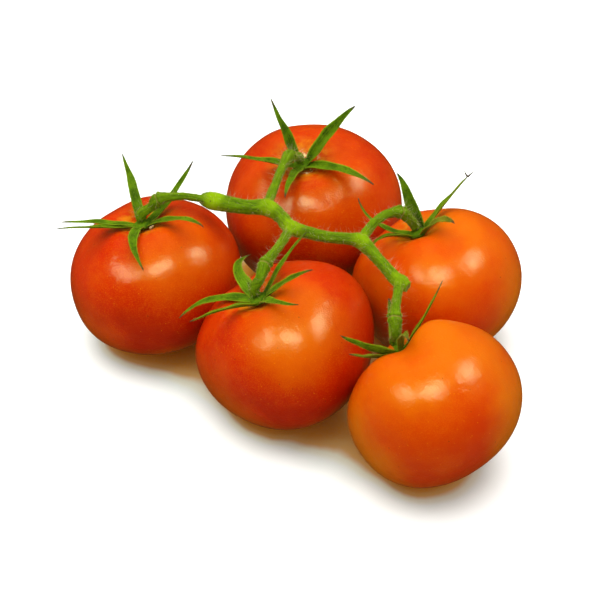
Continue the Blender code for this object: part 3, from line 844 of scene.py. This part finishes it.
class Nodes:
    """Short calls for making the nodes of a material or of the world."""

    def __init__(self, owner, shader):
        owner.use_nodes = True
        self.owner = owner
        self.tree = owner.node_tree
        self.shader = self.tree.nodes[shader]
        self.where = None        # what the noises are laid out by
        self.colour = None       # what is painted so far

    def feed(self, node, values):
        """Values by socket name or number: numbers, colours of three, vectors or outputs."""
        for key, value in values.items():
            socket = node.inputs[key]
            if isinstance(value, bpy.types.NodeSocket):
                self.tree.links.new(value, socket)
            elif socket.type == "RGBA":
                socket.default_value = (*value, 1.0)
            else:
                socket.default_value = value

    def make(self, kind, output, values, **settings):
        """Adds a node and returns one of its outputs."""
        node = self.tree.nodes.new(kind)
        for key, value in settings.items():
            setattr(node, key, value)
        self.feed(node, values)
        return node.outputs[output]

    def set(self, **values):
        self.feed(self.shader, {key.replace("_", " "): value for key, value in values.items()})

    def attribute(self, name, output="Fac"):
        return self.make("ShaderNodeAttribute", output, {}, attribute_name=name)

    def ray(self, kind):
        return self.make("ShaderNodeLightPath", "Is %s Ray" % kind, {})

    def height(self, vector):
        return self.make("ShaderNodeSeparateXYZ", "Z", {0: vector})

    def noise(self, name, vector=None):
        values = dict(zip(("Scale", "Detail", "Roughness"), NOISES[name]))
        return self.make("ShaderNodeTexNoise", "Fac", {"Vector": vector or self.where, **values})

    def cells(self, scale, *ends):
        values = {"Vector": self.where, "Scale": scale}
        return self.span(self.make("ShaderNodeTexVoronoi", "Distance", values), *ends)

    def vector_math(self, operation, output, *values):
        return self.make("ShaderNodeVectorMath", output, dict(enumerate(values)),
                         operation=operation)

    def math(self, operation, *values):
        return self.make("ShaderNodeMath", 0, dict(enumerate(values)), operation=operation)

    def product(self, first, *others):
        for value in others:
            first = self.math("MULTIPLY", first, value)
        return first

    def span(self, value, low, high, to_low=0.0, to_high=1.0, kind="SMOOTHSTEP"):
        """Turns low to high into to_low to to_high."""
        return self.make("ShaderNodeMapRange", "Result", {
            "Value": value, "From Min": low, "From Max": high, "To Min": to_low,
            "To Max": to_high}, interpolation_type=kind)

    def patchy(self, name, *ends):
        return self.span(self.noise(name), *ends)

    def mix(self, share, first, second):
        """The node's colours are its sockets 6 and 7, and its mixed colour is output 2."""
        return self.make("ShaderNodeMix", 2, {0: share, 6: first, 7: second}, data_type="RGBA")

    def paint(self, colour, *shares):
        """Lays the colour over what is painted so far, by the product of the shares."""
        self.colour = self.mix(self.product(*shares), self.colour, colour)

    def bump(self, *heights):
        """Heights are (output, strength, distance in metres), laid one on another."""
        below = {}
        for height, strength, distance in heights:
            values = {"Height": height, "Strength": strength, "Distance": distance, **below}
            below = {"Normal": self.make("ShaderNodeBump", "Normal", values)}
        self.set(**below)
        return below["Normal"]

    def finish(self):
        self.set(Base_Color=self.colour)
        return self.owner


def new_material(name, place=None):
    """Its noises are laid out by an attribute or else by the object's own frame."""
    nodes = Nodes(bpy.data.materials.new(name), "Principled BSDF")
    nodes.where = (nodes.attribute(place, "Vector") if place
                   else nodes.make("ShaderNodeTexCoord", "Object", {}))
    return nodes


def skin_material(fruit):
    ripe_and_shaded_red, plain, lit_orange, rise = SKIN_COLOURS[fruit.name]
    nodes = new_material("skin_" + fruit.name, "place")
    radius = fruit.radius * MM
    up = nodes.height(nodes.where)
    flat = nodes.vector_math("MULTIPLY", "Vector", nodes.where, (1.0, 1.0, 0.0))
    out = nodes.vector_math("LENGTH", "Value", flat)
    # Redder away from the stem and oranger towards it, with broad uneven patches: partly
    # ripening, partly painted light on the top and painted shade low down.
    patches = nodes.noise("patches")
    height = nodes.span(up, -0.7 * radius, 0.75 * radius)
    ripeness_and_light = nodes.math("ADD", nodes.product(height, rise),
                          nodes.product(nodes.span(patches, 0.3, 0.7), 0.45))
    nodes.colour = nodes.mix(nodes.span(ripeness_and_light, 0.0, 0.55), ripe_and_shaded_red, plain)
    nodes.paint(lit_orange, nodes.span(ripeness_and_light, 0.45, 1.0, 0.0, 0.85))
    # Golden patches on the sides that face the given directions; those that face up are painted
    # light, an orange glow round the highlights.
    middle = nodes.vector_math("NORMALIZE", "Vector", nodes.where)
    for direction, share in GOLD_AND_GLOW[fruit.name]:
        turned = fruit_axes(fruit).transposed() @ Vector(direction).normalized()
        facing = nodes.vector_math("DOT_PRODUCT", "Value", middle, turned)
        uneven = nodes.math("ADD", facing, nodes.product(patches, 0.3))
        nodes.paint(GOLDEN_AND_GLOW, nodes.span(uneven, 0.8, 1.2), share)
    # Fine mottling under the skin and pale gold flecks.
    paling = nodes.span(ripeness_and_light, 0.05, 0.5, 0.15, 1.0)
    nodes.paint(MOTTLE, nodes.patchy("mottle", 0.44, 0.66, 0.0, 0.36), paling)
    nodes.paint(BLOTCH, nodes.patchy("blotch", 0.52, 0.74, 0.0, 0.18), paling)
    sparse = nodes.patchy("sparse", 0.46, 0.58)
    nodes.paint(FLECK, nodes.cells(FLECK_CELLS, 0.17, 0.06), sparse, 0.45)
    # A few dark pinpoints.
    rare = nodes.patchy("rare", 0.54, 0.62)
    nodes.paint(PINPOINT, nodes.cells(PIN_CELLS, 0.1, 0.05), rare, 0.6)
    # A pale yellow ring in the hollow round the stem, broken up into short rays.
    top = nodes.span(up, 0.2 * radius, 0.4 * radius)
    near = nodes.span(out, 0.46 * radius, 0.12 * radius)
    nodes.paint(STEM_RAYS, near, top, nodes.patchy("rays", 0.38, 0.66), 0.75)
    # A small brown scar opposite the stem.
    below = nodes.span(up, -0.4 * radius, -0.6 * radius)
    nodes.paint(SCAR, nodes.span(out, 0.055 * radius, 0.025 * radius), below, 0.85)
    # Corky pale patches right beside the button.
    close = nodes.span(out, 0.24 * radius, 0.16 * radius)
    nodes.paint(CORKY, close, top, nodes.patchy("cork", 0.56, 0.64), CORK[fruit.name])
    normal = nodes.bump((nodes.noise("swell"), 0.35, 0.001),
                        (nodes.noise("dimple"), 0.5, 0.00019),
                        (nodes.noise("peel"), 0.9, 0.0001))
    # A wide amber sheen under a thin wax coat that gives the pale cores of the highlights.
    nodes.set(Roughness=nodes.patchy("gloss", 0.3, 0.7, 0.28, 0.38),
              Subsurface_Weight=0.12, Subsurface_Scale=0.004, Subsurface_Radius=(1.0, 0.25, 0.1),
              Specular_IOR_Level=0.22, Specular_Tint=(0.45, 0.8, 0.01), Coat_Weight=0.44,
              Coat_Roughness=0.12, Coat_IOR=1.4, Coat_Normal=normal)
    return nodes.finish()


def leaf_material():
    nodes = new_material("sepal_green", "place")
    broad = nodes.noise("leaf")
    fine = nodes.noise("fine")
    nodes.colour = nodes.mix(nodes.span(broad, 0.34, 0.68), LEAF_DARK, LEAF_LIGHT)
    # Veins run along the blade, and its edges are paler than its middle.
    across = nodes.attribute("across")
    bent = nodes.math("ADD", nodes.product(across, VEINS_ACROSS), nodes.product(broad, 1.6))
    veins = nodes.math("ABSOLUTE", nodes.math("COSINE", bent))
    nodes.paint(LEAF_VEIN, nodes.span(veins, 0.35, 0.05, 0.0, 0.55))
    nodes.paint(LEAF_EDGE, nodes.span(nodes.math("ABSOLUTE", across), 0.7, 1.0, 0.0, 0.75))
    nodes.paint(LEAF_GRAIN, nodes.span(fine, 0.52, 0.72, 0.0, 0.5))
    nodes.paint(LEAF_SPECK, nodes.patchy("leaf_specks", 0.34, 0.26), 0.75)
    brown = nodes.mix(nodes.span(broad, 0.4, 0.6), LEAF_YELLOWED, LEAF_BROWNED)
    nodes.paint(brown, nodes.attribute("aged"))
    nodes.paint(LEAF_DRY, nodes.attribute("dry"))
    nodes.bump((broad, 0.3, 0.0003), (veins, 0.5, 0.00015), (fine, 0.7, 0.00014))
    nodes.set(Roughness=0.62, Subsurface_Weight=0.15, Subsurface_Scale=0.0012,
              Subsurface_Radius=(0.5, 1.0, 0.1), Specular_IOR_Level=0.03, Sheen_Weight=0.12,
              Sheen_Roughness=0.35, Sheen_Tint=(0.8, 1.0, 0.1))
    return nodes.finish()


def stem_material():
    nodes = new_material("stalk_green")
    streaks = nodes.noise("streaks", nodes.attribute("grain", "Vector"))
    broad = nodes.noise("stem")
    fine = nodes.noise("fine")
    nodes.colour = nodes.mix(nodes.span(streaks, 0.3, 0.72), STEM_DARK, STEM_LIGHT)
    nodes.paint(STEM_PATCH, nodes.span(broad, 0.35, 0.75, 0.0, 0.55))
    nodes.paint(STEM_GRAIN, nodes.span(fine, 0.5, 0.72, 0.0, 0.5))
    nodes.paint(STEM_YOUNG, nodes.span(nodes.attribute("young"), 0.1, 1.05),
                nodes.span(broad, 0.2, 0.6, 0.65, 1.0))
    nodes.paint(STEM_RING, nodes.span(nodes.attribute("ring"), 0.3, 0.9, 0.0, 0.85))
    nodes.paint(STEM_SPECK, nodes.patchy("stem_specks", 0.31, 0.24), 0.8)
    nodes.paint(STEM_CUT, nodes.span(nodes.attribute("cut"), 0.55, 0.9), 0.75)
    nodes.bump((streaks, 0.5, 0.0003), (fine, 0.6, 0.00014))
    nodes.set(Roughness=0.58, Subsurface_Weight=0.12, Subsurface_Scale=0.0015,
              Subsurface_Radius=(0.6, 1.0, 0.1), Specular_IOR_Level=0.03, Sheen_Weight=0.28,
              Sheen_Roughness=0.35, Sheen_Tint=(1.0, 0.95, 0.22))
    return nodes.finish()


def hair_material():
    nodes = new_material("pale_hairs")
    tint = nodes.patchy("hair", 0.35, 0.65)
    nodes.colour = nodes.mix(tint, *HAIR_SHORT)
    nodes.paint(nodes.mix(tint, *HAIR_LONG), nodes.attribute("long"))
    nodes.set(Roughness=0.6, Specular_IOR_Level=0.05)
    return nodes.finish()


def surface_material():
    """White, with painted shadow turning it tan where the fruits close it in, and a little fill
    light elsewhere.
    """
    nodes = new_material("pale_surface")
    openness = nodes.attribute("openness")
    # The ramp paints the shadow round the fruits and the greenish tint of the half shade.
    nodes.colour = nodes.make("ShaderNodeValToRGB", "Color", {"Fac": openness})
    ramp = nodes.colour.node.color_ramp
    ramp.interpolation = "EASE"
    while len(ramp.elements) < len(PAINTED_SHADOW_TINTS):
        ramp.elements.new(1.0)
    for stop, (place, colour) in zip(ramp.elements, PAINTED_SHADOW_TINTS):
        stop.position = place
        stop.color = (*colour, 1.0)
    nodes.paint(SURFACE_GRAIN, nodes.patchy("surface", 0.3, 0.7, 0.0, 0.05))
    nodes.paint((0.0, 0.0, 0.0), nodes.ray("Diffuse"), SURFACE_DIM)
    fill = nodes.product(nodes.span(openness, 0.34, 0.66, 0.0, SURFACE_FILL),
                         nodes.ray("Camera"))
    nodes.set(Roughness=0.8, Specular_IOR_Level=0.1, Emission_Color=(1.0, 1.0, 0.97),
              Emission_Strength=fill)
    return nodes.finish()


def surface_openness(fruits, places):
    """Share of the light that still reaches each grid point of the surface past the fruits."""
    depsgraph = bpy.context.evaluated_depsgraph_get()
    ways = []
    for count in range(OPENNESS_RAYS):
        low = (count + 0.5) / OPENNESS_RAYS
        turn = count * math.pi * (3.0 - math.sqrt(5.0))
        out = math.sqrt(low)
        ways.append(Vector((out * math.cos(turn), out * math.sin(turn),
                            math.sqrt(1.0 - low))))
    closed = np.zeros((len(places), len(places), OPENNESS_RAYS), bool)
    for fruit, item in zip(FRUITS, fruits):
        tree = BVHTree.FromObject(item, depsgraph)
        middle = Vector((fruit.x, fruit.y)) + TO_CENTRE.to_2d()
        reach = (fruit.radius + OPENNESS_REACH) * MM
        for row, x in enumerate(places):
            for column, y in enumerate(places):
                if (Vector((x, y)) - middle * MM).length > reach:
                    continue
                origin = Vector((x, y, OPENNESS_START * MM))
                for count, way in enumerate(ways):
                    if tree.ray_cast(origin, way, OPENNESS_REACH * MM)[0] is not None:
                        closed[row, column, count] = True
    share = 1.0 - closed.mean(axis=2)
    rows, columns = np.meshgrid(places, places, indexing="ij")
    x, y, depth, reach = SHADY_CORNER
    share -= depth * bell(np.hypot(rows - x * MM, columns - y * MM), reach * MM)
    # Each point takes the mean of itself and its neighbours.
    padded = np.pad(share, 1, mode="edge")
    size = len(places)
    return sum(padded[row:row + size, column:column + size]
               for row in range(3) for column in range(3)) / 9.0


def build_surface(fruits):
    fine = np.arange(-SURFACE_FINE, SURFACE_FINE + SURFACE_STEP / 2.0, SURFACE_STEP)
    places = np.concatenate([[-SURFACE_REACH], fine, [SURFACE_REACH]])
    size = len(places)
    points = [(x, y, 0.0) for x in places for y in places]
    faces = [(row * size + column, (row + 1) * size + column,
              (row + 1) * size + column + 1, row * size + column + 1)
             for row in range(size - 1) for column in range(size - 1)]
    mesh = bpy.data.meshes.new("surface")
    mesh.from_pydata(points, [], faces)
    set_attribute(mesh, "openness", surface_openness(fruits, places))
    floor = new_piece("surface", mesh, surface_material())
    floor.visible_glossy = False


def add_lamp(name, kind, direction, distance, diffuse, glossy):
    """A lamp that looks at the fruits; diffuse and glossy say what it lights."""
    lamp = bpy.data.lights.new(name, kind)
    item = new_object(name, lamp)
    item.location = LAMP_AIM + Vector(direction).normalized() * distance
    item.rotation_euler = (LAMP_AIM - item.location).to_track_quat("-Z", "Y").to_euler()
    item.visible_diffuse = diffuse
    item.visible_glossy = glossy
    return lamp


def build_light():
    world = bpy.data.worlds.new("surround")
    bpy.context.scene.world = world
    nodes = Nodes(world, "Background")
    # Bright as a backdrop, stronger overhead as a light, and nearly dark in the skins' mirror.
    way = nodes.make("ShaderNodeTexCoord", "Generated", {})
    strength = nodes.span(nodes.height(way), 0.0, 1.0, SKY_LIGHT * SKY_LOW,
                          SKY_LIGHT * SKY_HIGH, "LINEAR")
    for kind, value in (("Glossy", SKY_GLOSS), ("Camera", SKY_BACKDROP)):
        strength = nodes.span(nodes.ray(kind), 0.0, 1.0, strength, value, "LINEAR")
    tint = nodes.mix(nodes.ray("Glossy"), (1.0, 1.0, 1.0), SKY_GLOSS_TINT)
    nodes.set(Strength=strength, Color=tint)
    sun = add_lamp("overhead", "SUN", SUN_DIRECTION, 1.0, True, False)
    sun.angle = math.radians(SUN_SPREAD)
    sun.energy = SUN_LIGHT
    for name, direction, size, radiance in SOFTBOXES:
        lamp = add_lamp(name, "AREA", direction, SOFTBOX_DISTANCE, False, True)
        lamp.color = SOFTBOX_TINT
        lamp.shape = "RECTANGLE"
        lamp.size, lamp.size_y = size
        lamp.energy = radiance * math.pi * size[0] * size[1]


def build_camera():
    camera = bpy.data.cameras.new("camera")
    camera.sensor_width = 36.0
    camera.lens = CAMERA_LENS
    camera.clip_start = 0.01
    item = new_object("camera", camera)
    aim = (Vector((0.0, 0.0, CAMERA_AIM)) + TO_CENTRE) * MM
    tilt = math.radians(CAMERA_TILT)
    item.location = aim + Vector((0.0, -CAMERA_DISTANCE * math.cos(tilt),
                                  CAMERA_DISTANCE * math.sin(tilt)))
    item.rotation_euler = (math.radians(90.0 - CAMERA_TILT), 0.0, 0.0)
    bpy.context.scene.camera = item


build_camera()
build_light()
bpy.context.scene.view_settings.view_transform = "Standard"
bpy.context.scene.view_settings.look = "None"
LEAF = leaf_material()
STEM = stem_material()
HAIR = hair_material()
skins = []
for each in FRUITS:
    skins.append(build_fruit(each, skin_material(each)))
    build_calyx(each, LEAF, HAIR)
build_stalk(STEM, HAIR)
build_surface(skins)

bpy.context.view_layer.update()
